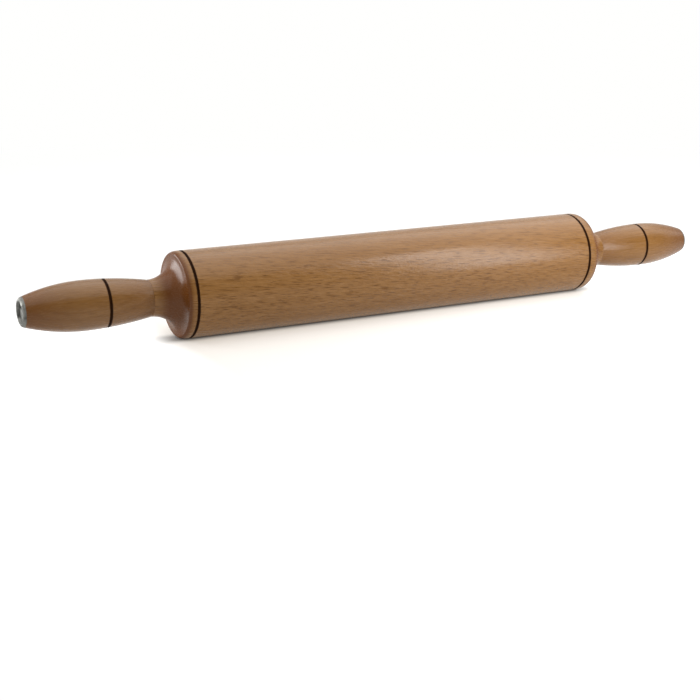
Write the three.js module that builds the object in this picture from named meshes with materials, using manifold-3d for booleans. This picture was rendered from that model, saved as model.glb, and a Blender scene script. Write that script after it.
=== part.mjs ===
// A beech rolling pin whose barrel turns on a steel axle between two fixed handles.
// Millimetres, +Z up. The pin lies along X with its middle at the origin, and one flat facet of
// the barrel faces straight down. Every profile is drawn as (radius, distance along the pin).
import * as THREE from "three";
import { mergeVertices } from "three/addons/utils/BufferGeometryUtils.js";
import Module from "manifold-3d";

const wasm = await Module();
wasm.setup();

// Barrel: a plain cylinder, then at each end a round-over, a cove and the boss that meets a handle
const BARREL_DIAMETER = 55;
const BARREL_STRAIGHT_LENGTH = 299;
const ROUND_OVER_LENGTH = 4.5;
const ROUND_OVER_DEPTH = 2;
const COVE_LENGTH = 16.5;
const NECK_WALL = 3.3;

// Handles: swell out from the neck and taper to a rounded tip
const HANDLE_LENGTH = 79.5;
const SWELL_DIAMETER = 30.8;
const SWELL_FROM_NECK = 41;
const TIP_ROUND = 1.8;
const TIP_FACE_WIDTH = 0.8;

// Burnt rings: V grooves, set by hand at the lathe, so the two ends differ a little
const RING_WIDTH = 1.4;
const RING_DEPTH = 0.5;
const LEFT_BARREL_RING_INSET = 1.2;
const RIGHT_BARREL_RING_INSET = 3.5;
const LEFT_HANDLE_RING_FROM_NECK = 28.2;
const RIGHT_HANDLE_RING_FROM_NECK = 37;

// Axle: a rod shouldered down at both ends to the size of the nuts' thread
const AXLE_DIAMETER = 8;
const THREAD_DIAMETER = 5;
const AXLE_CHAMFER = 0.5;

// Flanged nylon bushes, pressed into the ends of the barrel
const BUSH_WALL = 1.7;
const BUSH_LENGTH = 16;
const FLANGE_WIDTH = 2;
const FLANGE_THICKNESS = 2;

// Steel thrust washers, let into the inner ends of the handles
const THRUST_WASHER_THICKNESS = 1.2;

// Steel cups that close the handle tips, each with a split washer and a slotted nut in its dish
const CUP_RIM_THICKNESS = 2;
const CUP_WALL = 0.9;
const CUP_FLOOR = 1;
const LOCK_WASHER_THICKNESS = 1;
const LOCK_WASHER_WIDTH = 1.6;
const LOCK_WASHER_SPLIT = THREE.MathUtils.degToRad(14);
const NUT_DIAMETER = 9.6;
const NUT_THICKNESS = 3.5;
const NUT_CHAMFER = 0.3;
const NUT_RECESS = 1.8;
const SLOT_WIDTH = 1.8;
const SLOT_DEPTH = 1.5;
const LEFT_SLOT_TURN = THREE.MathUtils.degToRad(-40);
const RIGHT_SLOT_TURN = THREE.MathUtils.degToRad(70);

// Clearances
const RUNNING_GAP = 0.3; // axle in bush, thrust washer against flange
const SEAT_GAP = 0.2; // between pieces that are fixed together
const PARTING_GAP = 0.4; // barrel boss to handle
const BORE_GAP = 0.8; // axle to the barrel's long bore
const DISH_GAP = 1.2; // nut to the wall of its cup, room for a nut driver

// Facets round the axis and steps along the curved stretches
const BARREL_FACETS = 32;
const HANDLE_FACETS = 40;
const FITTING_FACETS = 32;
const ROUND_OVER_STEPS = 5;
const COVE_STEPS = 10;
const HANDLE_STEPS = 9;
const TIP_STEPS = 4;

// Radii, from the axle outwards
const barrelRadius = BARREL_DIAMETER / 2;
const axleRadius = AXLE_DIAMETER / 2;
const threadRadius = THREAD_DIAMETER / 2;
const threadHoleRadius = threadRadius + SEAT_GAP;
const bushBoreRadius = axleRadius + RUNNING_GAP;
const sleeveRadius = bushBoreRadius + BUSH_WALL;
const flangeRadius = sleeveRadius + FLANGE_WIDTH;
const flangeSeatRadius = flangeRadius + SEAT_GAP;
const neckRadius = flangeSeatRadius + NECK_WALL;
const swellRadius = SWELL_DIAMETER / 2;
const nutRadius = NUT_DIAMETER / 2;
const dishRadius = nutRadius + DISH_GAP;
const cupRadius = dishRadius + CUP_WALL;
const tipFaceRadius = dishRadius + TIP_FACE_WIDTH;
const tipRadius = tipFaceRadius + TIP_ROUND;

// Places along the right half of the pin, from its middle to its tip
const straightEnd = BARREL_STRAIGHT_LENGTH / 2;
const coveStart = straightEnd + ROUND_OVER_LENGTH;
const bossFace = coveStart + COVE_LENGTH;
const washerFace = bossFace + RUNNING_GAP;
const axleShoulder = washerFace - SEAT_GAP;
const handleFace = bossFace + PARTING_GAP;
const washerSeat = washerFace + THRUST_WASHER_THICKNESS + SEAT_GAP;
const tip = handleFace + HANDLE_LENGTH;
const rimUnderside = tip - CUP_RIM_THICKNESS;
const handleEnd = rimUnderside - SEAT_GAP;
const nutFace = tip - NUT_RECESS;
const nutSeat = nutFace - NUT_THICKNESS;
const lockWasherSeat = nutSeat - SEAT_GAP - LOCK_WASHER_THICKNESS;
const dishFloor = lockWasherSeat - SEAT_GAP;
const cupUnderside = dishFloor - CUP_FLOOR;
const cupSeat = cupUnderside - SEAT_GAP;

const point = (radius, along) => new THREE.Vector2(radius, along);
const mirrored = (points) => points.map((p) => point(p.x, -p.y)).reverse();

// The points of a curve after its first one, which the stretch before it already holds.
const continued = (curve, steps) => curve.getPoints(steps).slice(1);

const beech = () => new THREE.MeshStandardMaterial({ color: 0xb08a62, roughness: 0.38 });
const nylon = () => new THREE.MeshStandardMaterial({ color: 0xe6e2d6, roughness: 0.55 });
const steel = () =>
  new THREE.MeshStandardMaterial({ color: 0x8c8a84, roughness: 0.35, metalness: 1 });

// A profile turned about the pin's axis, half a facet round so that a flat lies straight down.
function turned(profile, facets) {
  return new THREE.LatheGeometry(profile, facets, Math.PI / facets);
}

// A ring-shaped piece: its profile runs out and up, then in and down, and closes on itself.
function turnedRing(profile, facets) {
  return turned([...profile, profile[0]], facets);
}

function named(name, geometry, material) {
  const mesh = new THREE.Mesh(geometry, material);
  mesh.name = name;
  return mesh;
}

function toSolid(geometry) {
  const bare = geometry.clone();
  bare.deleteAttribute("normal");
  bare.deleteAttribute("uv");
  const merged = mergeVertices(bare);
  const vertProperties = merged.attributes.position.array;
  const triVerts = new Uint32Array(merged.index.array);
  return new wasm.Manifold(new wasm.Mesh({ numProp: 3, vertProperties, triVerts }));
}

function toGeometry(solid) {
  const { vertProperties, triVerts } = solid.getMesh();
  const geometry = new THREE.BufferGeometry();
  geometry.setAttribute("position", new THREE.BufferAttribute(vertProperties, 3));
  geometry.setIndex(new THREE.BufferAttribute(triVerts, 1));
  geometry.computeVertexNormals();
  return geometry;
}

// The three points of a V groove round a surface whose radius is given by radiusAt.
function ringGroove(centre, radiusAt) {
  const near = centre - RING_WIDTH / 2;
  const far = centre + RING_WIDTH / 2;
  return [
    point(radiusAt(near), near),
    point(radiusAt(centre) - RING_DEPTH, centre),
    point(radiusAt(far), far),
  ];
}

// The shoulder from the cylinder to the boss: two quarter ellipses, convex and then concave.
function shoulder() {
  const coveCrest = barrelRadius - ROUND_OVER_DEPTH;
  const roundOver = new THREE.EllipseCurve(
    coveCrest, straightEnd, ROUND_OVER_DEPTH, ROUND_OVER_LENGTH, 0, Math.PI / 2, false,
  );
  const cove = new THREE.EllipseCurve(
    coveCrest, bossFace, coveCrest - neckRadius, COVE_LENGTH, -Math.PI / 2, -Math.PI, true,
  );
  return [
    point(barrelRadius, straightEnd),
    ...continued(roundOver, ROUND_OVER_STEPS),
    ...continued(cove, COVE_STEPS),
  ];
}

// The bore from the boss inwards: the flange's seat, the sleeve's seat and the long hole.
function bushSeat() {
  const flangeFloor = bossFace - FLANGE_THICKNESS - SEAT_GAP;
  const sleeveFloor = bossFace - BUSH_LENGTH - SEAT_GAP;
  const sleeveSeatRadius = sleeveRadius + SEAT_GAP;
  return [
    point(flangeSeatRadius, bossFace),
    point(flangeSeatRadius, flangeFloor),
    point(sleeveSeatRadius, flangeFloor),
    point(sleeveSeatRadius, sleeveFloor),
    point(axleRadius + BORE_GAP, sleeveFloor),
  ];
}

function barrel() {
  const outline = shoulder();
  const bore = bushSeat();
  const straight = () => barrelRadius;
  const profile = [
    ...mirrored(outline),
    ...ringGroove(LEFT_BARREL_RING_INSET - straightEnd, straight),
    ...ringGroove(straightEnd - RIGHT_BARREL_RING_INSET, straight),
    ...outline,
    ...bore,
    ...mirrored(bore),
  ];
  return named("barrel", turnedRing(profile, BARREL_FACETS), beech());
}

function axle() {
  const half = [
    point(axleRadius, axleShoulder - AXLE_CHAMFER),
    point(axleRadius - AXLE_CHAMFER, axleShoulder),
    point(threadRadius, axleShoulder),
    point(threadRadius, nutFace - AXLE_CHAMFER),
    point(threadRadius - AXLE_CHAMFER, nutFace),
    point(0, nutFace),
  ];
  return named("axle", turned([...mirrored(half), ...half], FITTING_FACETS), steel());
}

function bush(side) {
  const flangeUnderside = bossFace - FLANGE_THICKNESS;
  const sleeveEnd = bossFace - BUSH_LENGTH;
  const profile = [
    point(bushBoreRadius, sleeveEnd),
    point(sleeveRadius, sleeveEnd),
    point(sleeveRadius, flangeUnderside),
    point(flangeRadius, flangeUnderside),
    point(flangeRadius, bossFace),
    point(bushBoreRadius, bossFace),
  ];
  return named(side + "_bush", turnedRing(profile, FITTING_FACETS), nylon());
}

function thrustWasher(side) {
  const outerFace = washerFace + THRUST_WASHER_THICKNESS;
  const profile = [
    point(threadHoleRadius, washerFace),
    point(flangeRadius, washerFace),
    point(flangeRadius, outerFace),
    point(threadHoleRadius, outerFace),
  ];
  return named(side + "_thrust_washer", turnedRing(profile, FITTING_FACETS), steel());
}

// The handle's outline: a parabola on either side of the swell, one down to the neck and one
// down to the tip.
function handleRadius(along) {
  const fromSwell = along - handleFace - SWELL_FROM_NECK;
  const towardsTip = fromSwell > 0;
  const reach = towardsTip ? HANDLE_LENGTH - SWELL_FROM_NECK : SWELL_FROM_NECK;
  const endRadius = towardsTip ? tipRadius : neckRadius;
  return swellRadius - (swellRadius - endRadius) * (fromSwell / reach) ** 2;
}

// Points at even steps along the handle's outline, both ends included.
function handleStretch(start, end) {
  return Array.from({ length: HANDLE_STEPS + 1 }, (_, step) => {
    const along = THREE.MathUtils.lerp(start, end, step / HANDLE_STEPS);
    return point(handleRadius(along), along);
  });
}

function handle(side, ringFromNeck) {
  const groove = ringGroove(handleFace + ringFromNeck, handleRadius);
  const [grooveStart, grooveBottom, grooveEnd] = groove;
  const washerRecessRadius = flangeRadius + SEAT_GAP;
  const cupRecessRadius = cupRadius + SEAT_GAP;
  const profile = [
    ...handleStretch(handleFace, grooveStart.y),
    grooveBottom,
    ...handleStretch(grooveEnd.y, handleEnd),
    point(cupRecessRadius, handleEnd),
    point(cupRecessRadius, cupSeat),
    point(threadHoleRadius, cupSeat),
    point(threadHoleRadius, washerSeat),
    point(washerRecessRadius, washerSeat),
    point(washerRecessRadius, handleFace),
  ];
  return named(side + "_handle", turnedRing(profile, HANDLE_FACETS), beech());
}

// The cup carries the handle's taper on to the rounded tip and dishes in round the nut.
function endCup(side) {
  const roundStart = tip - TIP_ROUND;
  const edge = new THREE.QuadraticBezierCurve(
    point(handleRadius(roundStart), roundStart),
    point(tipRadius, tip),
    point(tipFaceRadius, tip),
  );
  const profile = [
    point(threadHoleRadius, cupUnderside),
    point(cupRadius, cupUnderside),
    point(cupRadius, rimUnderside),
    point(handleRadius(rimUnderside), rimUnderside),
    ...edge.getPoints(TIP_STEPS),
    point(dishRadius, tip),
    point(dishRadius, dishFloor),
    point(threadHoleRadius, dishFloor),
  ];
  return named(side + "_end_cup", turnedRing(profile, FITTING_FACETS), steel());
}

// A split ring, drawn as two arcs with the same gap.
function lockWasher(side) {
  const outerRadius = threadHoleRadius + LOCK_WASHER_WIDTH;
  const start = LOCK_WASHER_SPLIT / 2;
  const end = 2 * Math.PI - start;
  const outline = new THREE.Shape();
  outline.absarc(0, 0, outerRadius, start, end, false);
  outline.absarc(0, 0, threadHoleRadius, end, start, true);
  const geometry = new THREE.ExtrudeGeometry(outline, {
    depth: LOCK_WASHER_THICKNESS,
    curveSegments: FITTING_FACETS,
    bevelEnabled: false,
  });
  geometry.rotateX(-Math.PI / 2);
  const mesh = named(side + "_lock_washer", geometry, steel());
  mesh.position.y = lockWasherSeat;
  return mesh;
}

// A round nut with a screwdriver slot across its face.
function endNut(side, slotTurn) {
  const body = turnedRing(
    [
      point(threadHoleRadius, nutSeat),
      point(nutRadius, nutSeat),
      point(nutRadius, nutFace - NUT_CHAMFER),
      point(nutRadius - NUT_CHAMFER, nutFace),
      point(threadHoleRadius, nutFace),
    ],
    FITTING_FACETS,
  );
  const cutter = new THREE.BoxGeometry(2 * NUT_DIAMETER, 2 * SLOT_DEPTH, SLOT_WIDTH);
  cutter.rotateY(slotTurn);
  cutter.translate(0, nutFace, 0);
  const slotted = toGeometry(toSolid(body).subtract(toSolid(cutter)));
  return named(side + "_end_nut", slotted, steel());
}

// One end of the pin, drawn as the right end.
function endAssembly(side, ringFromNeck, slotTurn) {
  const group = new THREE.Group();
  group.add(
    bush(side),
    thrustWasher(side),
    handle(side, ringFromNeck),
    endCup(side),
    lockWasher(side),
    endNut(side, slotTurn),
  );
  return group;
}

const rightEnd = endAssembly("right", RIGHT_HANDLE_RING_FROM_NECK, RIGHT_SLOT_TURN);
const leftEnd = endAssembly("left", LEFT_HANDLE_RING_FROM_NECK, LEFT_SLOT_TURN);
leftEnd.rotation.x = Math.PI;

const pin = new THREE.Group();
pin.add(barrel(), axle(), leftEnd, rightEnd);
pin.rotation.z = -Math.PI / 2; // the profiles' axis, Y, becomes the pin's, X

const rollingPin = new THREE.Group();
rollingPin.add(pin);

export default rollingPin;
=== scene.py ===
"""A turned beech rolling pin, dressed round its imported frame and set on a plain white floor.

The wood, the steel tips and the axle are surfaces worked out with numpy. The bushes and the washers
keep the frame's own solids and only get a finish.
"""

import math
from typing import NamedTuple

import bmesh
import bpy
import numpy as np
from bpy.props import FloatProperty, FloatVectorProperty, PointerProperty
from bpy.types import Operator, Panel, PropertyGroup
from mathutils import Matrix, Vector


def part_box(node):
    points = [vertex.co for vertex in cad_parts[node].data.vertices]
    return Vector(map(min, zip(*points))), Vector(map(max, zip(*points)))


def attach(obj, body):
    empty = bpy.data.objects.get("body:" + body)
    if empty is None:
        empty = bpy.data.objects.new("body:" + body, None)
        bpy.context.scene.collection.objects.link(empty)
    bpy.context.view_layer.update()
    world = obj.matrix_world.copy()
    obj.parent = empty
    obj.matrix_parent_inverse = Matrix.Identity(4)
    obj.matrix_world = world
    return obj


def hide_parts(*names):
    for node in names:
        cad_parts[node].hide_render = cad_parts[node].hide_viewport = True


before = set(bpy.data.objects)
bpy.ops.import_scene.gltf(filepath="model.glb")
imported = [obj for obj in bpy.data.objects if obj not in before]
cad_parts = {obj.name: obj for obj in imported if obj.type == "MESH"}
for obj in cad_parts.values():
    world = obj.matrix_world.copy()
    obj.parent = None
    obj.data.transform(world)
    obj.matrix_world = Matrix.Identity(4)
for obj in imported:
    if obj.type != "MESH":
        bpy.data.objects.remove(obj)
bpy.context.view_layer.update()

bl_info = {
    "name": "Rolling Pin",
    "version": (1, 0, 0),
    "blender": (4, 5, 0),
    "location": "View3D > Sidebar > Rolling Pin",
    "description": "Dresses a rolling pin's frame in turned beech and steel, on a white studio floor",
    "category": "Object",
}

# Places along the right half of the pin, from the frame. The left half is the same, turned round.
BOSS_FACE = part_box("barrel")[1].x
HANDLE_FACE, HANDLE_END = (corner.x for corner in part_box("right_handle"))
THRUST_WASHER_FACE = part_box("right_thrust_washer")[1].x
CUP_UNDERSIDE, TIP = (corner.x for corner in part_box("right_end_cup"))
LOCK_WASHER_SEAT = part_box("right_lock_washer")[0].x
NUT_SEAT, NUT_FACE = (corner.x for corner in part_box("right_end_nut"))
AXLE_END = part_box("axle")[1].x

SIDES = {"right": np.array([1, 1, 1]), "left": np.array([-1, 1, -1])}  # the left is turned about Y

# How finely the surfaces are divided, along the profile in rows and round the axis in columns
BARREL_COLUMNS = 256
HANDLE_COLUMNS = 192
FITTING_COLUMNS = 128
AXLE_COLUMNS = 64
SLOT_COLUMNS = 9
NUT_SIDE_COLUMNS = 48
BARREL_STEP = 0.006
HANDLE_STEP = 0.001
RING_ROWS = 33
ROUND_OVER_ROWS = 24
COVE_ROWS = 48
EDGE_ROWS = 5
TIP_ROWS = 17
ROWS_PER_THREAD = 12
FLOOR_ROWS = 9
FLOOR_COLUMNS = 64
CARD_ROWS = 17
CARD_COLUMNS = 9
SHARP_ANGLE = math.radians(38)
WELD_DISTANCE = 1e-7

# The camera
PHOTO_WIDTH = 700  # pixels
SENSOR_WIDTH = 36.0  # millimetres
CLIP_START = 0.01

# Patterns in the finishes, in swings per metre along X, Y and Z, or outwards from a middle
SWAY_PATTERN = (30, 160, 160)
BLOTCH_PATTERN = (9, 45, 45)
FIBRE_PATTERN = (40, 1300, 1300)
RAY_PATTERN = (125, 850, 2000)
PORE_PATTERN = (550, 900, 1400)
SCORCH_PATTERN = (300, 900, 900)
TARNISH_PATTERN = (250, 250, 250)
CLOUD_PATTERN = (350, 350, 350)
GROWTH_PATTERN = 420
TOOL_MARK_PATTERN = 5000

# Reach and relief of those patterns, in metres
SWAY_REACH = (0.004, 0.0009, 0.0009)
SCORCH_REACH = 0.0004
GRAIN_RELIEF = 0.00003
TOOL_MARK_RELIEF = 0.00001
CLOUD_RELIEF = 0.00002

# Where a pattern starts to show and where it shows fully
DARK_RAY = (0.45, 0.33)
LIGHT_RAY = (0.55, 0.7)
END_GRAIN_SLOPE = (0, 0.5)
TARNISH_EDGE = (0.35, 0.65)
SCORCH_EDGE = (1.75, 0.95)  # in half widths of a ring

# How strongly each pattern shows in the wood's tone, in its relief and in the roughness of a finish
TONE_MIDDLE = 0.4
LIGHT_RAY_TONE = 0.4
GROWTH_TONE = 0.6
BLOTCH_TONE = 0.8
FIBRE_TONE = 0.8
RAY_HEIGHT = 0.8  # beside fibres of height 1
PORE_HEIGHT = 3.5
FIBRE_BLUR = 0.3
RAY_BLUR = 0.2
TARNISH_BLUR = 0.15
TOOL_MARK_BLUR = 0.2
CLOUD_BLUR = 0.2
NOISE_ROUGHNESS = 0.55

# Other values of the finishes
PITH_STRETCH = (0.05, 1, 1)  # draws the growth bands out along the pin
RAY_LEAST = 0.35  # share of the rays that is left on top and below
END_GRAIN_COVER = 0.95  # share of the end grain's colour, which is partly painted shade, where it shows fully
CLOUD_SHADE = 0.8
LACQUER_INDEX = 1.5
DRY_ROUGHNESS = 0.9
SHADOW_CORE = 0.3  # share of the shadow's width that is lifted fully
CONTACT_CORE = 0.2  # share of the painted contact shadow's width that is fully dark
BLACK = (0.0, 0.0, 0.0)


class Cut(NamedTuple):
    """How a wooden piece lay in its plank, and how its wood compares with the barrel's, darker where it
    carries painted shade.
    """

    offset: tuple  # from the pith, in metres
    turn: tuple  # of the grain, in radians
    shade: float  # less than 1 for painted shade: the same wood darker where less light falls on it
    flecking: float  # less than 1 for fainter rays


HANDLE_GRAIN_TURN = (0.2, 0, math.radians(3))
# The handles' shades below 1 are painted shade: the barrel's beech darkened for the lesser light on each
# handle, the left one most.
CUTS = {
    "barrel": Cut((0.3, 0.062, -0.041), (0, math.radians(-5.4), math.radians(5.4)), 1.0, 1.0),
    "left_handle": Cut((0.9, -0.05, 0.03), HANDLE_GRAIN_TURN, 0.85, 0.6),
    "right_handle": Cut((1.7, 0.02, 0.057), HANDLE_GRAIN_TURN, 0.94, 0.6),
}


def length(name, description, default):
    """A size or place in metres."""
    return FloatProperty(
        name=name, description=description, default=default, precision=5, subtype="DISTANCE", unit="LENGTH"
    )


def angle(name, description, default):
    """An angle in radians."""
    return FloatProperty(
        name=name, description=description, default=default, precision=5, subtype="ANGLE", unit="ROTATION"
    )


def amount(name, description, default):
    """A plain number."""
    return FloatProperty(name=name, description=description, default=default, precision=4)


def share(name, description, default):
    """A part of the whole, from 0 to 1."""
    return FloatProperty(
        name=name, description=description, default=default, min=0, max=1, precision=3, subtype="FACTOR"
    )


def power(name, description, default):
    """The power of a light in watts."""
    return FloatProperty(name=name, description=description, default=default, precision=3, unit="POWER")


def place(name, description, default):
    """A point in metres."""
    return FloatVectorProperty(
        name=name, description=description, default=default, size=3, precision=5, subtype="TRANSLATION",
        unit="LENGTH",
    )


def extent(name, description, default):
    """A width and a height in metres."""
    return FloatVectorProperty(
        name=name, description=description, default=default, size=2, precision=4, unit="LENGTH"
    )


def colour(name, description, default):
    """A linear colour."""
    return FloatVectorProperty(
        name=name, description=description, default=default, size=3, min=0, max=1, subtype="COLOR"
    )


class PinSizes(PropertyGroup):
    """Sizes of the turned pieces."""

    barrel_radius: length("Barrel radius", "Radius of the straight part of the barrel", 0.0275)
    straight_end: length("Straight end", "From the middle to the end of the straight part", 0.1495)
    round_over_length: length("Round-over length", "Along the pin, at both ends of the barrel", 0.0045)
    round_over_depth: length("Round-over depth", "How far the round-over drops towards the axis", 0.002)
    neck_radius: length("Neck radius", "Where the barrel meets a handle", 0.0115)
    edge_round: length("Edge round", "Rounding of the turned edges", 0.00005)
    joint_close: length("Joint close", "How far each side of a joint closes up on the other", 0.00019)
    flange_seat_radius: length("Flange seat radius", "Recess for a bush's flange or a washer", 0.0082)
    flange_seat_depth: length("Flange seat depth", "Depth of the recess for a bush's flange", 0.0022)
    sleeve_seat_radius: length("Sleeve seat radius", "Hole for a bush's sleeve", 0.0062)
    sleeve_seat_depth: length("Sleeve seat depth", "Depth of the hole for a bush's sleeve", 0.0162)
    bore_radius: length("Bore radius", "The long hole through the barrel", 0.0048)
    swell_radius: length("Swell radius", "Fullest radius of a handle", 0.0154)
    swell_from_neck: length("Swell from neck", "From a handle's inner end to its fullest part", 0.041)
    tip_radius: length("Tip radius", "Where a handle's taper would end", 0.0086)
    tip_face_radius: length("Tip face radius", "Flat rim round the dish of a tip", 0.007)
    tip_round: length("Tip round", "Length of the rounded edge of a tip", 0.0018)
    cup_rim: length("Cup rim", "Thickness of a tip's rim", 0.002)
    cup_radius: length("Cup radius", "Radius of the cup let into a handle", 0.0073)
    dish_radius: length("Dish radius", "Radius of the dish's mouth", 0.0069)
    well_radius: length("Well radius", "Radius of the well under the dish that holds a nut", 0.0054)
    dish_depth: length("Dish depth", "Depth of the flared part of the dish", 0.0024)
    seat_gap: length("Seat gap", "Gap round pieces that are fixed together", 0.0002)
    nut_radius: length("Nut radius", "Radius of a round nut", 0.0048)
    nut_chamfer: length("Nut chamfer", "Bevel of a nut's outer edge", 0.0003)
    slot_width: length("Slot width", "Width of the screwdriver slot in a nut", 0.0018)
    slot_depth: length("Slot depth", "Depth of the screwdriver slot in a nut", 0.0015)
    left_slot_turn: angle("Left slot turn", "How far the left nut's slot is turned", math.radians(-40))
    right_slot_turn: angle("Right slot turn", "How far the right nut's slot is turned", math.radians(70))
    axle_radius: length("Axle radius", "Radius of the axle in its bushes", 0.004)
    axle_shoulder: length("Axle shoulder", "From the middle to the axle's shoulder", 0.1706)
    thread_radius: length("Thread radius", "Radius of the axle's ends", 0.0025)
    thread_pitch: length("Thread pitch", "Advance of one turn of the thread", 0.0008)
    thread_depth: length("Thread depth", "Height of the thread", 0.0004)
    thread_length: length("Thread length", "Length of the thread on each end", 0.012)
    ring_width: length("Ring width", "Width of a burnt ring's groove", 0.0015)
    ring_depth: length("Ring depth", "Depth of a burnt ring's groove", 0.0005)
    left_barrel_ring: length("Left barrel ring", "Place of the ring at the barrel's left end", -0.1483)
    right_barrel_ring: length("Right barrel ring", "Place of the ring at the barrel's right end", 0.146)
    left_handle_ring: length("Left handle ring", "Place of the left handle's ring", -0.1991)
    right_handle_ring: length("Right handle ring", "Place of the right handle's ring", 0.2079)


class PinFinishes(PropertyGroup):
    """Colours and gloss of the pieces."""

    beech_pale: colour("Pale beech", "The lighter wood between growth bands", (0.232, 0.115, 0.036))
    beech_deep: colour("Deep beech", "The darker wood of the growth bands", (0.166, 0.071, 0.013))
    fleck: colour("Fleck", "The short dark rays in the wood", (0.1, 0.036, 0.001))
    # The end grain colour is partly real, lacquer soaked into end grain, and partly painted shade for the
    # dim coves and necks.
    end_grain_and_shade: colour("End grain", "Wood cut across the grain, where lacquer soaks in", (0.1, 0.032, 0.007))
    burnt: colour("Burnt ring", "Wood burnt by a wire at the lathe", (0.016, 0.005, 0.001))
    steel: colour("Steel", "Turned steel", (0.16, 0.16, 0.148))
    tarnish: colour("Tarnish", "Dull patches on the steel", (0.07, 0.07, 0.064))
    nylon: colour("Nylon", "The bushes", (0.78, 0.76, 0.68))
    lacquer: share("Lacquer", "Weight of the clear coat on the wood", 0.09)
    lacquer_roughness: share("Lacquer roughness", "How blurred the clear coat is", 0.2)
    wood_roughness: share("Wood roughness", "How blurred the wood's own shine is", 0.26)
    wood_shine: share("Wood shine", "How strongly the wood itself shines", 0.24)
    ring_dryness: share("Ring dryness", "How matt a burnt ring is", 0.8)
    end_grain_dryness: share("End grain dryness", "How matt the end grain is", 0.45)
    steel_roughness: share("Steel roughness", "How blurred the clean steel is", 0.5)
    nylon_roughness: share("Nylon roughness", "How blurred the nylon is", 0.5)


class PinStage(PropertyGroup):
    """Camera, floor and light."""

    camera_place: place("Camera place", "Where the camera stands", (-0.431704, -0.756338, 0.182304))
    camera_yaw: angle("Camera yaw", "Turn of the camera from +Y towards +X", 0.487416)
    camera_pitch: angle("Camera pitch", "How far the camera looks down", 0.265831)
    focal_pixels: amount("Focal length", "Focal length in pixels of a 700 pixel wide picture", 1320.63)
    floor: colour("Floor", "The pale floor", (0.46, 0.46, 0.457))
    backdrop: colour("Backdrop", "The white behind everything", (1.0, 1.0, 0.99))
    floor_lift: colour("Floor lift", "White added to the floor where it is seen", (0.02, 0.02, 0.02))
    shadow_lift: colour("Shadow lift", "Light added in the barrel's shadow", (0.1, 0.06, 0.01))
    end_lift: colour("End lift", "Light added in the shadow of the handles", (0.45, 0.45, 0.44))
    end_lift_start: length("End lift start", "From the middle to where the end lift starts", 0.15)
    end_lift_full: length("End lift full", "From the middle to where the end lift is full", 0.172)
    left_glow: colour("Left glow", "Light added to the floor at the left", (0.4, 0.4, 0.4))
    right_glow: colour("Right glow", "Light added to the floor at the right", (0.56, 0.56, 0.56))
    glow_reach: length("Glow reach", "From the middle to where the floor's glow starts and ends", 0.2)
    card_foot: colour("Card foot", "The card before the pin, where it meets the floor", (0.6, 0.6, 0.6))
    card_head: colour("Card head", "The card before the pin, higher up", (0.28, 0.28, 0.28))
    card_fade: length("Card fade", "Height over which the card darkens", 0.9)
    card_distance: length("Card distance", "From the pin to the card", 1.6)
    card_left: length("Card left", "Place of the card's left edge", -1.6)
    card_right: length("Card right", "Place of the card's right edge", 2.4)
    card_rise: angle("Card rise", "How high the card bends up over the front", math.radians(74))
    floor_gloss: share("Floor gloss", "Share of the floor that mirrors", 0.2)
    floor_roughness: share("Floor roughness", "How blurred the floor's mirror is", 0.25)
    shadow_reach: length("Shadow reach", "How far from the pin the floor shows its shadows", 0.35)
    white_reach: length("White reach", "From the pin to where the floor is as white as the backdrop", 1.05)
    # The dark strip is a painted contact shadow: the floor's glow and lift are left out there.
    contact_width: length("Contact width", "Half the width of the dark strip under the barrel", 0.014)
    shadow_width: length("Shadow width", "How far from the barrel's axis its shadow reaches", 0.13)
    floor_radius: length("Floor radius", "How far the floor reaches", 80.0)
    ambient: amount("Ambient", "Light from all round", 0.15)
    bank_power: power("Bank power", "Watts of the light overhead", 30.0)
    bank_place: place("Bank place", "Middle of the light overhead", (0.05, 0.025, 1.1))
    bank_size: extent("Bank size", "Width and depth of the light overhead", (2.65, 1.95))
    strip_power: power("Strip power", "Watts of the narrow light at the front right", 1.15)
    strip_place: place("Strip place", "Middle of the narrow light", (0.23, -0.27, 0.15))
    strip_size: extent("Strip size", "Width and height of the narrow light", (0.11, 0.34))
    side_power: power("Side power", "Watts of the wide light at the right", 1.2)
    side_place: place("Side place", "Middle of the wide light", (1.1, -0.1, 0.55))
    side_size: extent("Side size", "Width and height of the wide light", (0.5, 0.5))
    window_power: power("Window power", "Watts of the low light at the back left", 11.5)
    window_place: place("Window place", "Middle of the low light", (-0.85, 0.67, 0.22))
    window_size: extent("Window size", "Width and height of the low light", (0.7, 0.45))


# Profiles, as rows of (place along the axis, radius)


def quarter_ellipse(start, end, leaves_along_axis, steps):
    """A quarter ellipse from start to end: one coordinate moves by sin t and the other by 1 - cos t,
    so that it leaves start along the axis, or else square to it."""
    turn = np.linspace(0, np.pi / 2, steps)
    early, late = np.sin(turn), 1 - np.cos(turn)
    shares = np.column_stack([early, late] if leaves_along_axis else [late, early])
    return np.array(start) + (np.array(end) - np.array(start)) * shares


def mirrored(profile):
    """The same profile on the other half of the pin, run through backwards."""
    return (profile * [-1, 1])[::-1]


def close_round_rings(start, end, step, rings, sizes):
    """Even places from start to end, with finer ones across each burnt ring."""
    even = np.linspace(start, end, round((end - start) / step) + 1)
    across = np.linspace(-sizes.ring_width, sizes.ring_width, RING_ROWS)
    fine = (np.array(rings)[:, None] + across).ravel()
    clear = np.abs(even[:, None] - rings).min(axis=1) > sizes.ring_width
    return np.sort(np.concatenate([even[clear], fine]))


def ring_dip(along, rings, sizes):
    """Depth of the burnt rings: a squared cosine, deepest in the middle of each ring."""
    from_ring = np.abs(along[:, None] - rings).min(axis=1)
    outwards = np.clip(2 * from_ring / sizes.ring_width, 0, 1)
    return sizes.ring_depth * np.cos(outwards * np.pi / 2) ** 2


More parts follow.
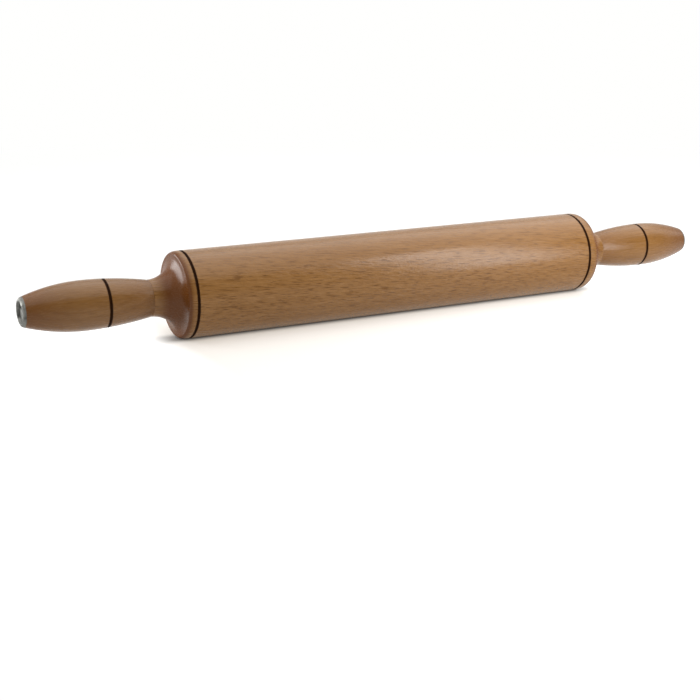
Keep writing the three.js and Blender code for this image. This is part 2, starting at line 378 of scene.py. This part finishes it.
def rounded_edge(corner, size, leaves_along_axis, along_sign=1, radius_sign=-1):
    """A small quarter ellipse in place of a corner."""
    along, radius = corner
    if leaves_along_axis:
        start = (along - along_sign * size, radius)
        end = (along, radius + radius_sign * size)
    else:
        start = (along, radius - radius_sign * size)
        end = (along + along_sign * size, radius)
    return quarter_ellipse(start, end, leaves_along_axis, EDGE_ROWS)


def barrel_profile(sizes):
    """The cylinder with its ring grooves, a convex and then a concave quarter ellipse down to each
    boss, and the stepped bore for the bushes."""
    crest = sizes.barrel_radius - sizes.round_over_depth
    cove_start = sizes.straight_end + sizes.round_over_length
    face = BOSS_FACE + sizes.joint_close
    rings = (sizes.left_barrel_ring, sizes.right_barrel_ring)
    along = close_round_rings(-sizes.straight_end, sizes.straight_end, BARREL_STEP, rings, sizes)
    straight = np.column_stack([along, sizes.barrel_radius - ring_dip(along, rings, sizes)])
    brink = (sizes.straight_end, sizes.barrel_radius)
    round_over = quarter_ellipse(brink, (cove_start, crest), True, ROUND_OVER_ROWS)
    neck = (face - sizes.edge_round, sizes.neck_radius)
    cove = quarter_ellipse((cove_start, crest), neck, False, COVE_ROWS)
    edge = rounded_edge((face, sizes.neck_radius), sizes.edge_round, True)
    shoulder = np.concatenate([round_over[1:], cove[1:], edge[1:]])
    flange_floor = BOSS_FACE - sizes.flange_seat_depth
    sleeve_floor = BOSS_FACE - sizes.sleeve_seat_depth
    bore = np.array([
        (face, sizes.flange_seat_radius),
        (flange_floor, sizes.flange_seat_radius),
        (flange_floor, sizes.sleeve_seat_radius),
        (sleeve_floor, sizes.sleeve_seat_radius),
        (sleeve_floor, sizes.bore_radius),
    ])
    return np.concatenate([mirrored(shoulder), straight, shoulder, bore, mirrored(bore)])


def handle_radius(along, sizes):
    """Radius of a handle: one parabola from the swell to the neck and another to the tip."""
    from_swell = along - HANDLE_FACE - sizes.swell_from_neck
    towards_tip = from_swell > 0
    reach = np.where(towards_tip, TIP - HANDLE_FACE - sizes.swell_from_neck, sizes.swell_from_neck)
    end_radius = np.where(towards_tip, sizes.tip_radius, sizes.neck_radius)
    return sizes.swell_radius - (sizes.swell_radius - end_radius) * (from_swell / reach) ** 2


def handle_profile(ring, sizes):
    """The handle's two parabolas with one ring groove, and the bore for the washer, axle and cup."""
    start = HANDLE_FACE - sizes.joint_close
    end = HANDLE_END + sizes.joint_close
    first, last = start + sizes.edge_round, end - sizes.edge_round
    along = close_round_rings(first, last, HANDLE_STEP, (ring,), sizes)
    outline = np.column_stack([along, handle_radius(along, sizes) - ring_dip(along, (ring,), sizes)])
    neck = rounded_edge((start, outline[0, 1]), sizes.edge_round, False, radius_sign=1)
    rim = rounded_edge((end, outline[-1, 1]), sizes.edge_round, True)
    recess = sizes.cup_radius + sizes.seat_gap
    hole = sizes.thread_radius + sizes.seat_gap
    cup_seat = CUP_UNDERSIDE - sizes.seat_gap
    washer_seat = THRUST_WASHER_FACE + sizes.seat_gap
    bore = np.array([
        (end, recess),
        (cup_seat, recess),
        (cup_seat, hole),
        (washer_seat, hole),
        (washer_seat, sizes.flange_seat_radius),
        (start, sizes.flange_seat_radius),
    ])
    return np.concatenate([neck[:-1], outline, rim[1:], bore])


def cup_profile(sizes):
    """The tip: the handle's taper, a parabola over the edge, a flat rim, and a dish that narrows to
    the well round the nut."""
    hole = sizes.thread_radius + sizes.seat_gap
    underside = TIP - sizes.cup_rim
    round_start = TIP - sizes.tip_round
    first = np.array([round_start, handle_radius(round_start, sizes)])
    corner = np.array([TIP, sizes.tip_radius])
    last = np.array([TIP, sizes.tip_face_radius])
    step = np.linspace(0, 1, TIP_ROWS)[:, None]
    edge = (1 - step) ** 2 * first + 2 * step * (1 - step) * corner + step ** 2 * last
    lip = rounded_edge((TIP, sizes.dish_radius), sizes.edge_round, False, along_sign=-1)
    well = (TIP - sizes.dish_depth, sizes.well_radius)
    dish_floor = LOCK_WASHER_SEAT - sizes.seat_gap
    return np.concatenate([
        [(CUP_UNDERSIDE, hole), (CUP_UNDERSIDE, sizes.cup_radius), (underside, sizes.cup_radius)],
        [(underside, handle_radius(underside, sizes))],
        edge,
        lip,
        [well, (dish_floor, sizes.well_radius), (dish_floor, hole)],
    ])


# Surfaces, as grids of points


def turned(profile, columns):
    """A profile carried once round the X axis: (x, r) at turn t goes to (x, r cos t, r sin t)."""
    turn = np.linspace(0, 2 * np.pi, columns, endpoint=False)
    along = np.repeat(profile[:, :1], columns, axis=1)
    return np.stack([along, profile[:, 1:] * np.cos(turn), profile[:, 1:] * np.sin(turn)], axis=-1)


def slotted_nut(slot_turn, sizes):
    """A round nut with a straight slot across its face.

    Each circle of radius r is split where it meets the slot's walls, at turns of asin(w / 2r) either
    side of the slot's line. The columns between those turns drop to the slot's floor, and the quads
    between a raised column and a dropped one at the same turn are the slot's walls."""
    hole = sizes.thread_radius + sizes.seat_gap
    bevel = sizes.nut_chamfer
    profile = np.array([
        (NUT_SEAT, hole),
        (NUT_SEAT, sizes.nut_radius),
        (NUT_FACE - sizes.slot_depth, sizes.nut_radius),
        (NUT_FACE - bevel, sizes.nut_radius),
        (NUT_FACE, sizes.nut_radius - bevel),
        (NUT_FACE, hole),
        (NUT_FACE - sizes.slot_depth, hole),
    ])
    along, radius = profile[:, :1], profile[:, 1:]
    wall = np.arcsin(sizes.slot_width / (2 * radius))
    across = np.linspace(-wall[:, 0], wall[:, 0], SLOT_COLUMNS).T
    between = np.linspace(wall[:, 0], np.pi - wall[:, 0], NUT_SIDE_COLUMNS).T
    turn = np.concatenate([across, between, across + np.pi, between + np.pi], axis=1)
    floor = np.full_like(across, NUT_FACE - sizes.slot_depth)
    top = np.full_like(between, NUT_FACE)
    height = np.minimum(along, np.concatenate([floor, top, floor, top], axis=1))
    turn = turn + slot_turn
    return np.stack([height, radius * np.cos(turn), radius * np.sin(turn)], axis=-1)


def threaded_axle(sizes):
    """A rod shouldered down at both ends, with a helical thread: over the threaded stretch the radius
    follows a cosine of x / pitch - t, and it ends on the axis."""
    bevel = sizes.thread_depth
    shoulder = sizes.axle_shoulder
    thread_start = AXLE_END - sizes.thread_length
    steps = round(ROWS_PER_THREAD * sizes.thread_length / sizes.thread_pitch)
    thread = np.linspace(thread_start, AXLE_END - bevel, steps)
    half = np.concatenate([
        [(shoulder - bevel, sizes.axle_radius), (shoulder, sizes.axle_radius - bevel)],
        [(shoulder, sizes.thread_radius)],
        np.column_stack([thread, np.full(steps, sizes.thread_radius)]),
        [(AXLE_END, sizes.thread_radius - bevel), (AXLE_END, 0)],
    ])
    profile = np.concatenate([mirrored(half), half])
    grid = turned(profile, AXLE_COLUMNS)
    turn = np.linspace(0, 2 * np.pi, AXLE_COLUMNS, endpoint=False)
    inside = np.clip((np.abs(profile[:, 0]) - thread_start) / sizes.thread_pitch, 0, 1)
    inside *= profile[:, 1] == sizes.thread_radius
    wave = np.cos(2 * np.pi * profile[:, :1] / sizes.thread_pitch - turn)
    depth = sizes.thread_depth * inside[:, None] * (0.5 - 0.5 * wave)
    grid[..., 1] -= depth * np.cos(turn)
    grid[..., 2] -= depth * np.sin(turn)
    return grid


def grid_faces(rows, columns, rows_meet, columns_meet):
    """Quads between neighbouring points of a grid whose last row or column may meet its first."""
    row = np.arange(rows if rows_meet else rows - 1)[:, None]
    column = np.arange(columns if columns_meet else columns - 1)[None, :]
    next_row = (row + 1) % rows
    next_column = (column + 1) % columns
    corners = [
        row * columns + column,
        row * columns + next_column,
        next_row * columns + next_column,
        next_row * columns + column,
    ]
    return np.stack(corners, axis=-1).reshape(-1, 4)


def across_grain(profile):
    """How far the surface of a turned profile faces along the axis, from 0 to 1."""
    step = np.gradient(profile, axis=0)
    return np.abs(step[:, 1]) / np.hypot(step[:, 0], step[:, 1])


def new_mesh(name, grid, rows_meet=True, columns_meet=True, end_grain_and_shade=None):
    """A mesh from a grid of points, welded where points meet, smooth between its sharp edges. Where
    end_grain_and_shade is given for each row, the mesh keeps it as an attribute."""
    rows, columns = grid.shape[:2]
    faces = grid_faces(rows, columns, rows_meet, columns_meet)
    mesh = bpy.data.meshes.new(name)
    mesh.from_pydata(grid.reshape(-1, 3).tolist(), [], faces.tolist())
    if end_grain_and_shade is not None:
        layer = mesh.attributes.new("end_grain_and_shade", "FLOAT", "POINT")
        layer.data.foreach_set("value", np.repeat(end_grain_and_shade, columns))
    shell = bmesh.new()
    shell.from_mesh(mesh)
    bmesh.ops.remove_doubles(shell, verts=shell.verts, dist=WELD_DISTANCE)
    bmesh.ops.dissolve_degenerate(shell, edges=shell.edges, dist=WELD_DISTANCE)
    shell.to_mesh(mesh)
    shell.free()
    mesh.shade_smooth()
    mesh.set_sharp_from_angle(angle=SHARP_ANGLE)
    return mesh


def add_object(mesh, material):
    """Puts a mesh into the scene with its material."""
    mesh.materials.append(material)
    thing = bpy.data.objects.new(mesh.name, mesh)
    bpy.context.scene.collection.objects.link(thing)
    return thing


def add_piece(mesh, material, body, node):
    """Puts a piece into the scene, on its body, in place of its frame node."""
    piece = add_object(mesh, material)
    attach(piece, body)
    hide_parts(node)


# Finishes


class Value:
    """A socket in a node tree. Arithmetic on it adds Math nodes, so 1 - value works too."""

    def __init__(self, graph, socket):
        self.graph = graph
        self.socket = socket

    def output(self, name):
        """Another output of the same node."""
        return Value(self.graph, self.socket.node.outputs[name])

    def math(self, operation, *values):
        """A Math node on the given values."""
        return self.graph.node("ShaderNodeMath", {"operation": operation}, dict(enumerate(values)))

    def __add__(self, other):
        return self.math("ADD", self, other)

    def __sub__(self, other):
        return self.math("SUBTRACT", self, other)

    def __rsub__(self, other):
        return self.math("SUBTRACT", other, self)

    def __mul__(self, other):
        return self.math("MULTIPLY", self, other)

    def __truediv__(self, other):
        return self.math("DIVIDE", self, other)

    def __rtruediv__(self, other):
        return self.math("DIVIDE", other, self)

    def __abs__(self):
        return self.math("ABSOLUTE", self)

    __radd__ = __add__
    __rmul__ = __mul__

    def lower(self, other):
        """The lower of two values."""
        return self.math("MINIMUM", self, other)

    def swing(self, weight):
        """How far the value is from a half, times a weight."""
        return (self - 0.5) * weight

    def fade(self, start, end):
        """Runs smoothly from 0 at start to 1 at end."""
        return self.graph.node(
            "ShaderNodeMapRange",
            {"interpolation_type": "SMOOTHSTEP"},
            {"Value": self, "From Min": start, "From Max": end},
        )


class Graph:
    """A node tree being filled."""

    def __init__(self, tree):
        tree.nodes.clear()
        self.tree = tree

    def node(self, kind, settings=None, sockets=None, output=0):
        """Adds a node of a kind, sets its settings, gives its sockets values or links, and returns
        one of its outputs."""
        node = self.tree.nodes.new(kind)
        for name, value in (settings or {}).items():
            setattr(node, name, value)
        for name, value in (sockets or {}).items():
            if isinstance(value, Value):
                self.tree.links.new(value.socket, node.inputs[name])
            else:
                node.inputs[name].default_value = value
        return Value(self, node.outputs[output]) if node.outputs else None

    def object_place(self):
        """Object coordinates, in metres."""
        return self.node("ShaderNodeTexCoord", output="Object")

    def split(self, vector):
        """The X, Y and Z of a vector."""
        first = self.node("ShaderNodeSeparateXYZ", {}, {"Vector": vector}, "X")
        return first, first.output("Y"), first.output("Z")

    def vector(self, operation, first, second):
        """Arithmetic on vectors."""
        return self.node("ShaderNodeVectorMath", {"operation": operation}, {0: first, 1: second})

    def distance(self, vector):
        """The length of a vector."""
        return self.node("ShaderNodeVectorMath", {"operation": "LENGTH"}, {0: vector}, "Value")

    def noise(self, vector, pattern, detail=2.0):
        """Soft random values about a half, with a pattern's swings per metre along each axis."""
        stretched = self.node("ShaderNodeMapping", {}, {"Vector": vector, "Scale": pattern})
        sockets = {"Vector": stretched, "Scale": 1.0, "Detail": detail, "Roughness": NOISE_ROUGHNESS}
        return self.node("ShaderNodeTexNoise", {}, sockets)

    def streaks(self, distance, pattern):
        """Soft random values along one distance, with a pattern's swings per metre."""
        sockets = {"W": distance * pattern, "Scale": 1.0, "Detail": 2.0}
        return self.node("ShaderNodeTexNoise", {"noise_dimensions": "1D"}, sockets)

    def mix(self, factor, first, second):
        """A colour between two others."""
        return self.node("ShaderNodeMix", {"data_type": "RGBA"}, {0: factor, 6: first, 7: second}, output=2)

    def bump(self, height, relief):
        """A normal from a height, whose full swing is relief in metres."""
        return self.node("ShaderNodeBump", {}, {"Height": height, "Distance": relief, "Strength": 1.0})

    def principled(self, sockets):
        """A Principled surface."""
        return self.node("ShaderNodeBsdfPrincipled", {}, sockets)

    def shine(self, tint):
        """A surface that only gives off light of one colour."""
        return self.node("ShaderNodeEmission", {}, {"Color": opaque(tint), "Strength": 1.0})

    def blend(self, factor, first, second):
        """A surface between two others."""
        return self.node("ShaderNodeMixShader", {}, {0: factor, 1: first, 2: second})

    def together(self, first, second):
        """The light of two surfaces added up."""
        return self.node("ShaderNodeAddShader", {}, {0: first, 1: second})

    def show(self, surface):
        """Makes a surface the material's own."""
        self.node("ShaderNodeOutputMaterial", {}, {"Surface": surface})


def opaque(tint):
    """A colour with full alpha."""
    return (*tint, 1.0)


def shaded(tint, shade):
    """A colour made darker."""
    return tuple(shade * part for part in tint)


def new_finish(name):
    """A new material and its empty node tree."""
    material = bpy.data.materials.new(name)
    material.use_nodes = True
    return material, Graph(material.node_tree)


def grain_place(graph, object_place, cut):
    """Coordinates in the plank: a piece's own, moved and turned as it was cut, and swayed a little so
    that the fibres wander."""
    sockets = {"Vector": object_place, "Location": cut.offset, "Rotation": cut.turn}
    laid = graph.node("ShaderNodeMapping", {}, sockets)
    sway = graph.noise(laid, SWAY_PATTERN).output("Color")
    sway = graph.vector("SUBTRACT", sway, (0.5, 0.5, 0.5))
    return graph.vector("ADD", laid, graph.vector("MULTIPLY", sway, SWAY_REACH))


def scorch(graph, object_place, rings, sizes):
    """1 on the burnt rings at the given places along the axis, with ragged edges, and 0 elsewhere."""
    along = graph.split(object_place)[0]
    from_ring = abs(along - rings[0])
    for ring in rings[1:]:
        from_ring = from_ring.lower(abs(along - ring))
    ragged = graph.noise(object_place, SCORCH_PATTERN)
    start, full = SCORCH_EDGE
    half_width = sizes.ring_width / 2
    return (from_ring + ragged.swing(SCORCH_REACH)).fade(start * half_width, full * half_width)


def beech(node, rings, sizes, finishes):
    """Lacquered beech: growth bands round a pith off to one side, blotches, fine fibres, and short
    dark and light rays that show most on the sides. Fibres, rays and pores stand out in relief. End
    grain took up more lacquer and is darkened further as painted shade in the coves and necks. It and
    the burnt rings are partly dry, so they are matt. The handles carry painted shade through their cut's
    shade."""
    cut = CUTS[node]
    material, graph = new_finish(f"beech_{node}")
    object_place = graph.object_place()
    _, depth, height = graph.split(object_place)
    sideways = depth * depth / (depth * depth + height * height)
    end_grain_and_shade = graph.node("ShaderNodeAttribute", {"attribute_name": "end_grain_and_shade"}, output="Fac")
    end_grain_and_shade = end_grain_and_shade.fade(*END_GRAIN_SLOPE)
    burn = scorch(graph, object_place, rings, sizes)

    plank = grain_place(graph, object_place, cut)
    from_pith = graph.distance(graph.vector("MULTIPLY", plank, PITH_STRETCH))
    growth = graph.streaks(from_pith, GROWTH_PATTERN)
    blotch = graph.noise(plank, BLOTCH_PATTERN)
    fibres = graph.noise(plank, FIBRE_PATTERN, detail=3.0)
    rays = graph.noise(plank, RAY_PATTERN, detail=1.0)
    pores = graph.noise(plank, PORE_PATTERN, detail=1.0)
    facing_ray = (RAY_LEAST + (1 - RAY_LEAST) * sideways) * (1 - end_grain_and_shade) * cut.flecking
    dark_ray = rays.fade(*DARK_RAY) * facing_ray
    light_ray = rays.fade(*LIGHT_RAY) * facing_ray

    tone = TONE_MIDDLE + light_ray * LIGHT_RAY_TONE + growth.swing(GROWTH_TONE)
    tone = tone + blotch.swing(BLOTCH_TONE) + fibres.swing(FIBRE_TONE)
    # Painted shade: each handle's wood is darkened by its cut's shade, standing in for the lesser light on
    # it.
    deep = shaded(finishes.beech_deep, cut.shade)
    pale = shaded(finishes.beech_pale, cut.shade)
    wood = graph.mix(tone, opaque(deep), opaque(pale))
    wood = graph.mix(dark_ray, wood, opaque(finishes.fleck))
    # The end grain colour is partly painted shade, darkening the coves and necks where less light falls.
    wood = graph.mix(end_grain_and_shade * END_GRAIN_COVER, wood, opaque(finishes.end_grain_and_shade))
    wood = graph.mix(burn, wood, opaque(finishes.burnt))
    relief = (fibres + rays * RAY_HEIGHT + pores * PORE_HEIGHT) * (1 - end_grain_and_shade)
    lacquered = graph.principled({
        "Base Color": wood,
        "Roughness": finishes.wood_roughness + fibres.swing(FIBRE_BLUR) - rays.swing(RAY_BLUR),
        "Specular IOR Level": finishes.wood_shine,
        "Normal": graph.bump(relief, GRAIN_RELIEF),
        "Coat Weight": (1 - burn) * finishes.lacquer,
        "Coat Roughness": finishes.lacquer_roughness,
        "Coat IOR": LACQUER_INDEX,
    })
    dry = graph.principled({"Base Color": wood, "Roughness": DRY_ROUGHNESS, "Specular IOR Level": 0.0})
    dryness = 1 - (1 - burn * finishes.ring_dryness) * (1 - end_grain_and_shade * finishes.end_grain_dryness)
    graph.show(graph.blend(dryness, lacquered, dry))
    return material


def turned_steel(name, finishes):
    """Dull steel with fine marks of the turning tool round the axis, and tarnished patches."""
    material, graph = new_finish(name)
    object_place = graph.object_place()
    from_axis = graph.distance(graph.vector("MULTIPLY", object_place, (0, 1, 1)))
    marks = graph.streaks(from_axis, TOOL_MARK_PATTERN)
    dull = graph.noise(object_place, TARNISH_PATTERN, detail=3.0).fade(*TARNISH_EDGE)
    graph.show(graph.principled({
        "Base Color": graph.mix(dull, opaque(finishes.steel), opaque(finishes.tarnish)),
        "Metallic": 1.0,
        "Roughness": finishes.steel_roughness + dull * TARNISH_BLUR + marks.swing(TOOL_MARK_BLUR),
        "Normal": graph.bump(marks, TOOL_MARK_RELIEF),
    }))
    return material


def natural_nylon(finishes):
    """Off-white nylon with a faint cloudiness."""
    material, graph = new_finish("natural_nylon")
    cloud = graph.noise(graph.object_place(), CLOUD_PATTERN, detail=3.0)
    cloudy = shaded(finishes.nylon, CLOUD_SHADE)
    graph.show(graph.principled({
        "Base Color": graph.mix(cloud, opaque(cloudy), opaque(finishes.nylon)),
        "Roughness": finishes.nylon_roughness + cloud.swing(CLOUD_BLUR),
        "Normal": graph.bump(cloud, CLOUD_RELIEF),
    }))
    return material


def seen_rays(graph):
    """1 for rays that show the backdrop itself: from the camera, a mirror or a window."""
    path = graph.node("ShaderNodeLightPath", output="Is Camera Ray")
    seen = path + path.output("Is Glossy Ray") + path.output("Is Transmission Ray")
    return seen.lower(1.0)


def white_floor(stage):
    """A pale floor with a faint mirror in it.

    It glows everywhere but in the contact strip under the barrel, which is a painted contact shadow,
    and it glows more towards the right. Where it is seen it is also lifted: most under the handles, a
    little in the barrel's shadow, and hardly elsewhere. Far from the pin it is as white as the backdrop."""
    material, graph = new_finish("white_floor")
    object_place = graph.object_place()
    along, across, _ = graph.split(object_place)
    beside = abs(across)
    beyond = abs(along).fade(stage.end_lift_start, stage.end_lift_full)
    # Painted contact shadow: a strip under the barrel where the glow and lift are taken out.
    contact_shadow = beside.fade(stage.contact_width, CONTACT_CORE * stage.contact_width) * (1 - beyond)
    shadow = beside.fade(stage.shadow_width, SHADOW_CORE * stage.shadow_width)
    rightward = along.fade(-stage.glow_reach, stage.glow_reach)
    dark = graph.shine(BLACK)
    glow = graph.blend(rightward, graph.shine(stage.left_glow), graph.shine(stage.right_glow))
    glow = graph.blend(contact_shadow, glow, dark)
    lift = graph.blend(beyond, graph.shine(stage.shadow_lift), graph.shine(stage.end_lift))
    lift = graph.blend(shadow, graph.shine(stage.floor_lift), lift)
    lift = graph.blend(contact_shadow, lift, dark)

    tint = opaque(stage.floor)
    matt = graph.node("ShaderNodeBsdfDiffuse", {}, {"Color": tint})
    mirror = graph.node("ShaderNodeBsdfGlossy", {}, {"Color": tint, "Roughness": stage.floor_roughness})
    lit = graph.together(graph.blend(stage.floor_gloss, matt, mirror), glow)
    far = graph.distance(object_place).fade(stage.shadow_reach, stage.white_reach)
    seen = graph.blend(far, graph.together(lit, lift), graph.shine(stage.backdrop))
    graph.show(graph.blend(seen_rays(graph), lit, seen))
    return material


def grey_card(stage):
    """The dim card that the front of the pin faces, paler towards the floor."""
    material, graph = new_finish("grey_card")
    height = graph.split(graph.object_place())[2]
    rising = height.fade(0, stage.card_fade)
    graph.show(graph.blend(rising, graph.shine(stage.card_foot), graph.shine(stage.card_head)))
    return material


# Operators


class ROLLINGPIN_OT_stage(Operator):
    """Set the camera, the floor and the lights"""

    bl_idname = "rolling_pin.stage"
    bl_label = "Stage"

    def execute(self, context):
        stage = context.scene.pin_stage
        sizes = context.scene.pin_sizes
        context.scene.view_settings.view_transform = "Standard"
        self.set_camera(context.scene, stage)
        self.lay_floor(stage, -sizes.barrel_radius)
        self.stand_card(stage)
        self.fill_world(context.scene, stage)
        below_bank = Vector(stage.bank_place) * Vector((1, 1, 0))
        pin_middle = Vector((0, 0, 0))
        self.add_light("bank", stage.bank_power, stage.bank_place, below_bank, stage.bank_size)
        self.add_light("strip", stage.strip_power, stage.strip_place, pin_middle, stage.strip_size)
        self.add_light("side", stage.side_power, stage.side_place, pin_middle, stage.side_size)
        self.add_light("window", stage.window_power, stage.window_place, pin_middle, stage.window_size)
        return {"FINISHED"}

    def set_camera(self, scene, stage):
        """A camera that is level across and looks a little down."""
        lens = bpy.data.cameras.new("camera")
        lens.sensor_fit = "HORIZONTAL"
        lens.sensor_width = SENSOR_WIDTH
        lens.lens = stage.focal_pixels / PHOTO_WIDTH * SENSOR_WIDTH
        lens.clip_start = CLIP_START
        lens.clip_end = 2 * stage.floor_radius
        camera = bpy.data.objects.new("camera", lens)
        camera.location = stage.camera_place
        camera.rotation_euler = (math.pi / 2 - stage.camera_pitch, 0, -stage.camera_yaw)
        scene.collection.objects.link(camera)
        scene.camera = camera

    def lay_floor(self, stage, height):
        """A disc: at turns t, circles whose radius r grows by cubes, with points at (r cos t, -r sin t)."""
        radius = stage.floor_radius * np.linspace(0, 1, FLOOR_ROWS)[:, None] ** 3
        turn = np.linspace(0, 2 * np.pi, FLOOR_COLUMNS, endpoint=False)
        level = np.full((FLOOR_ROWS, FLOOR_COLUMNS), height)
        grid = np.stack([radius * np.cos(turn), -radius * np.sin(turn), level], axis=-1)
        add_object(new_mesh("floor", grid, rows_meet=False), white_floor(stage))

    def stand_card(self, stage):
        """A sheet bent round the front: at height angle a it passes (-d cos a, d sin a) in Y, Z."""
        rise = np.linspace(0, stage.card_rise, CARD_ROWS)[:, None]
        across = np.linspace(stage.card_left, stage.card_right, CARD_COLUMNS)
        depth = -stage.card_distance * np.cos(rise)
        height = stage.card_distance * np.sin(rise)
        grid = np.stack(np.broadcast_arrays(across, depth, height), axis=-1)
        mesh = new_mesh("front_card", grid, rows_meet=False, columns_meet=False)
        card = add_object(mesh, grey_card(stage))
        card.visible_camera = False

    def fill_world(self, scene, stage):
        """A dim even light, with a white backdrop where it is seen."""
        world = bpy.data.worlds.new("studio")
        world.use_nodes = True
        scene.world = world
        graph = Graph(world.node_tree)
        room = graph.node("ShaderNodeBackground", {}, {"Strength": stage.ambient})
        white = {"Color": opaque(stage.backdrop), "Strength": 1.0}
        backdrop = graph.node("ShaderNodeBackground", {}, white)
        shown = graph.blend(seen_rays(graph), room, backdrop)
        graph.node("ShaderNodeOutputWorld", {}, {"Surface": shown})

    def add_light(self, name, watts, location, target, size):
        """A rectangular light at a location, facing a target."""
        light = bpy.data.lights.new(name, "AREA")
        light.shape = "RECTANGLE"
        light.energy = watts
        light.size, light.size_y = size
        lamp = bpy.data.objects.new(name, light)
        lamp.location = location
        lamp.rotation_euler = (target - Vector(location)).to_track_quat("-Z", "Y").to_euler()
        lamp.visible_camera = False
        bpy.context.scene.collection.objects.link(lamp)


class ROLLINGPIN_OT_barrel(Operator):
    """Turn the beech barrel with its coved ends and burnt rings"""

    bl_idname = "rolling_pin.barrel"
    bl_label = "Barrel"

    def execute(self, context):
        sizes = context.scene.pin_sizes
        profile = barrel_profile(sizes)
        grid = turned(profile, BARREL_COLUMNS)
        mesh = new_mesh("turned_barrel", grid, end_grain_and_shade=across_grain(profile))
        rings = (sizes.left_barrel_ring, sizes.right_barrel_ring)
        wood = beech("barrel", rings, sizes, context.scene.pin_finishes)
        add_piece(mesh, wood, "barrel", "barrel")
        return {"FINISHED"}


class ROLLINGPIN_OT_handles(Operator):
    """Turn the two swelled handles"""

    bl_idname = "rolling_pin.handles"
    bl_label = "Handles"

    def execute(self, context):
        sizes = context.scene.pin_sizes
        rings = {"left": sizes.left_handle_ring, "right": sizes.right_handle_ring}
        for side, facing in SIDES.items():
            profile = handle_profile(abs(rings[side]), sizes)
            grid = turned(profile, HANDLE_COLUMNS) * facing
            mesh = new_mesh(f"turned_{side}_handle", grid, end_grain_and_shade=across_grain(profile))
            wood = beech(f"{side}_handle", (rings[side],), sizes, context.scene.pin_finishes)
            add_piece(mesh, wood, "handles", f"{side}_handle")
        return {"FINISHED"}


class ROLLINGPIN_OT_tips(Operator):
    """Turn the dished steel cups of the tips and the slotted nuts in them"""

    bl_idname = "rolling_pin.tips"
    bl_label = "Tips"

    def execute(self, context):
        sizes = context.scene.pin_sizes
        steel = turned_steel("tip_steel", context.scene.pin_finishes)
        slot_turns = {"left": sizes.left_slot_turn, "right": sizes.right_slot_turn}
        for side, facing in SIDES.items():
            cup = new_mesh(f"dished_{side}_cup", turned(cup_profile(sizes), FITTING_COLUMNS) * facing)
            add_piece(cup, steel, "handles", f"{side}_end_cup")
            nut = new_mesh(f"slotted_{side}_nut", slotted_nut(slot_turns[side], sizes) * facing)
            add_piece(nut, steel, "handles", f"{side}_end_nut")
        return {"FINISHED"}


class ROLLINGPIN_OT_axle(Operator):
    """Turn the axle and cut its threads"""

    bl_idname = "rolling_pin.axle"
    bl_label = "Axle"

    def execute(self, context):
        sizes = context.scene.pin_sizes
        mesh = new_mesh("threaded_axle", threaded_axle(sizes), rows_meet=False)
        steel = turned_steel("axle_steel", context.scene.pin_finishes)
        add_piece(mesh, steel, "handles", "axle")
        return {"FINISHED"}


class ROLLINGPIN_OT_fittings(Operator):
    """Finish the bushes and washers, which keep the frame's own solids"""

    bl_idname = "rolling_pin.fittings"
    bl_label = "Bushes and washers"

    def execute(self, context):
        finishes = context.scene.pin_finishes
        nylon = natural_nylon(finishes)
        steel = turned_steel("washer_steel", finishes)
        for side in SIDES:
            self.dress(f"{side}_bush", nylon)
            self.dress(f"{side}_thrust_washer", steel)
            self.dress(f"{side}_lock_washer", steel)
        return {"FINISHED"}

    def dress(self, node, material):
        """Gives one of the frame's own nodes a material."""
        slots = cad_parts[node].material_slots
        if not slots:
            raise RuntimeError(f"{node} has no material slot")
        for slot in slots:
            slot.material = material


class ROLLINGPIN_PT_panel(Panel):
    """The pieces of the pin, with their sizes, finishes and stage"""

    bl_idname = "ROLLINGPIN_PT_panel"
    bl_label = "Rolling Pin"
    bl_space_type = "VIEW_3D"
    bl_region_type = "UI"
    bl_category = "Rolling Pin"

    def draw(self, context):
        for operator in OPERATORS:
            self.layout.operator(operator.bl_idname)
        for group in (context.scene.pin_sizes, context.scene.pin_finishes, context.scene.pin_stage):
            box = self.layout.box()
            for name in group.__annotations__:
                box.prop(group, name)


GROUPS = {"pin_sizes": PinSizes, "pin_finishes": PinFinishes, "pin_stage": PinStage}
OPERATORS = (
    ROLLINGPIN_OT_stage,
    ROLLINGPIN_OT_barrel,
    ROLLINGPIN_OT_handles,
    ROLLINGPIN_OT_tips,
    ROLLINGPIN_OT_axle,
    ROLLINGPIN_OT_fittings,
)
CLASSES = (*GROUPS.values(), *OPERATORS, ROLLINGPIN_PT_panel)


def register():
    for cls in CLASSES:
        bpy.utils.register_class(cls)
    for name, group in GROUPS.items():
        setattr(bpy.types.Scene, name, PointerProperty(type=group))


def unregister():
    for name in GROUPS:
        delattr(bpy.types.Scene, name)
    for cls in reversed(CLASSES):
        bpy.utils.unregister_class(cls)


def main():
    register()
    bpy.ops.rolling_pin.stage()
    bpy.ops.rolling_pin.barrel()
    bpy.ops.rolling_pin.handles()
    bpy.ops.rolling_pin.tips()
    bpy.ops.rolling_pin.axle()
    bpy.ops.rolling_pin.fittings()


if __name__ == "__main__":
    main()
